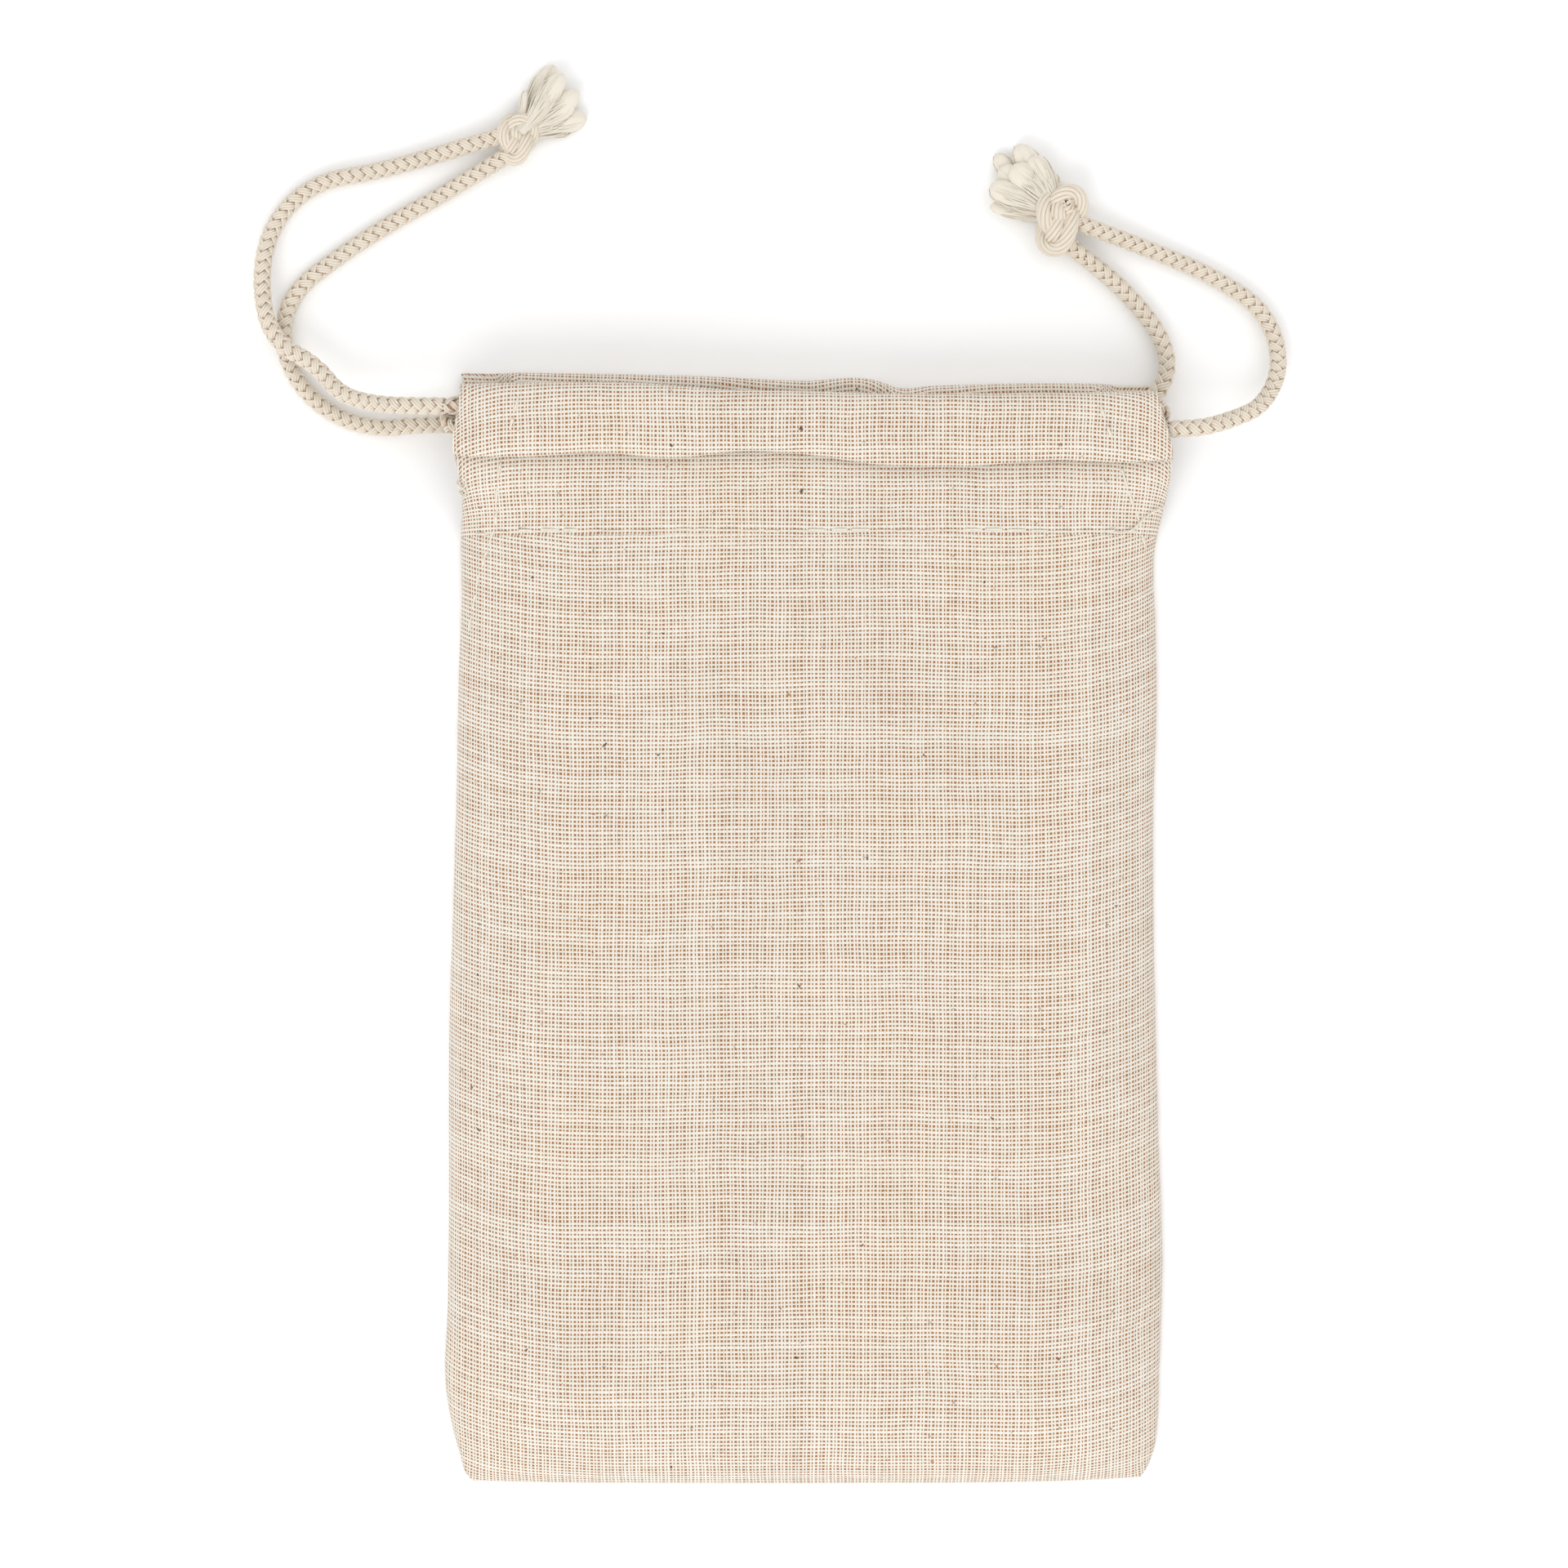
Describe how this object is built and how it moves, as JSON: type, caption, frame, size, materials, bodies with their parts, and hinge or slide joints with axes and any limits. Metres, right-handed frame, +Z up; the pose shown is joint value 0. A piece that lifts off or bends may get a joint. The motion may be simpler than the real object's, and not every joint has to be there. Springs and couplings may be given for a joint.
{
  "type": "drawstring fabric gift sack",
  "caption": "Flat cotton drawstring sack with front and back casings at its open mouth and braided cords that pull out at both sides, knotted and frayed at their ends.",
  "frame": {"origin": "centre of the sack's footprint on the surface that it lies on", "axes": "+Y up the sack to its mouth, +Z up from the back to the front, +X to the right-hand side"},
  "size_m": [0.1459, 0.1988, 0.0133],
  "materials": {
    "cloth": "unbleached plain-weave cotton muslin",
    "cord": "braided cotton cord",
    "yarn": "frayed soft cotton yarn",
    "thread": "cream cotton sewing thread"
  },
  "bodies": {
    "sack": {"back_casing": "cloth", "back_hem": "cloth", "back_hem_stitching": "thread", "back_left_slit_hem": "cloth", "back_panel": "cloth", "back_right_slit_hem": "cloth", "front_casing": "cloth", "front_hem": "cloth", "front_hem_stitching": "thread", "front_left_slit_hem": "cloth", "front_panel": "cloth", "front_right_slit_hem": "cloth", "left_seam_allowance": "cloth", "left_seam_stitching": "thread", "left_slit_stitching": "thread", "loose_thread_end": "thread", "right_seam_allowance": "cloth", "right_seam_stitching": "thread", "right_slit_stitching": "thread", "thread_loops": "thread"},
    "left_drawcord": {"left_casing_cord": "cord", "left_front_strand": "cord", "left_back_strand": "cord", "left_knot": "cord", "left_tassel": "yarn"},
    "right_drawcord": {"right_casing_cord": "cord", "right_front_strand": "cord", "right_back_strand": "cord", "right_knot": "cord", "right_tassel": "yarn"}
  },
  "joints": [
    {"name": "left_cord_pull", "type": "slide", "parent": "sack", "child": "left_drawcord", "axis": [-1, 0, 0], "range_m": [0, 0.03], "deforming": ["front_hem", "back_hem"]},
    {"name": "right_cord_pull", "type": "slide", "parent": "sack", "child": "right_drawcord", "axis": [1, 0, 0], "range_m": [0, 0.03], "deforming": ["front_hem", "back_hem"]}
  ]
}
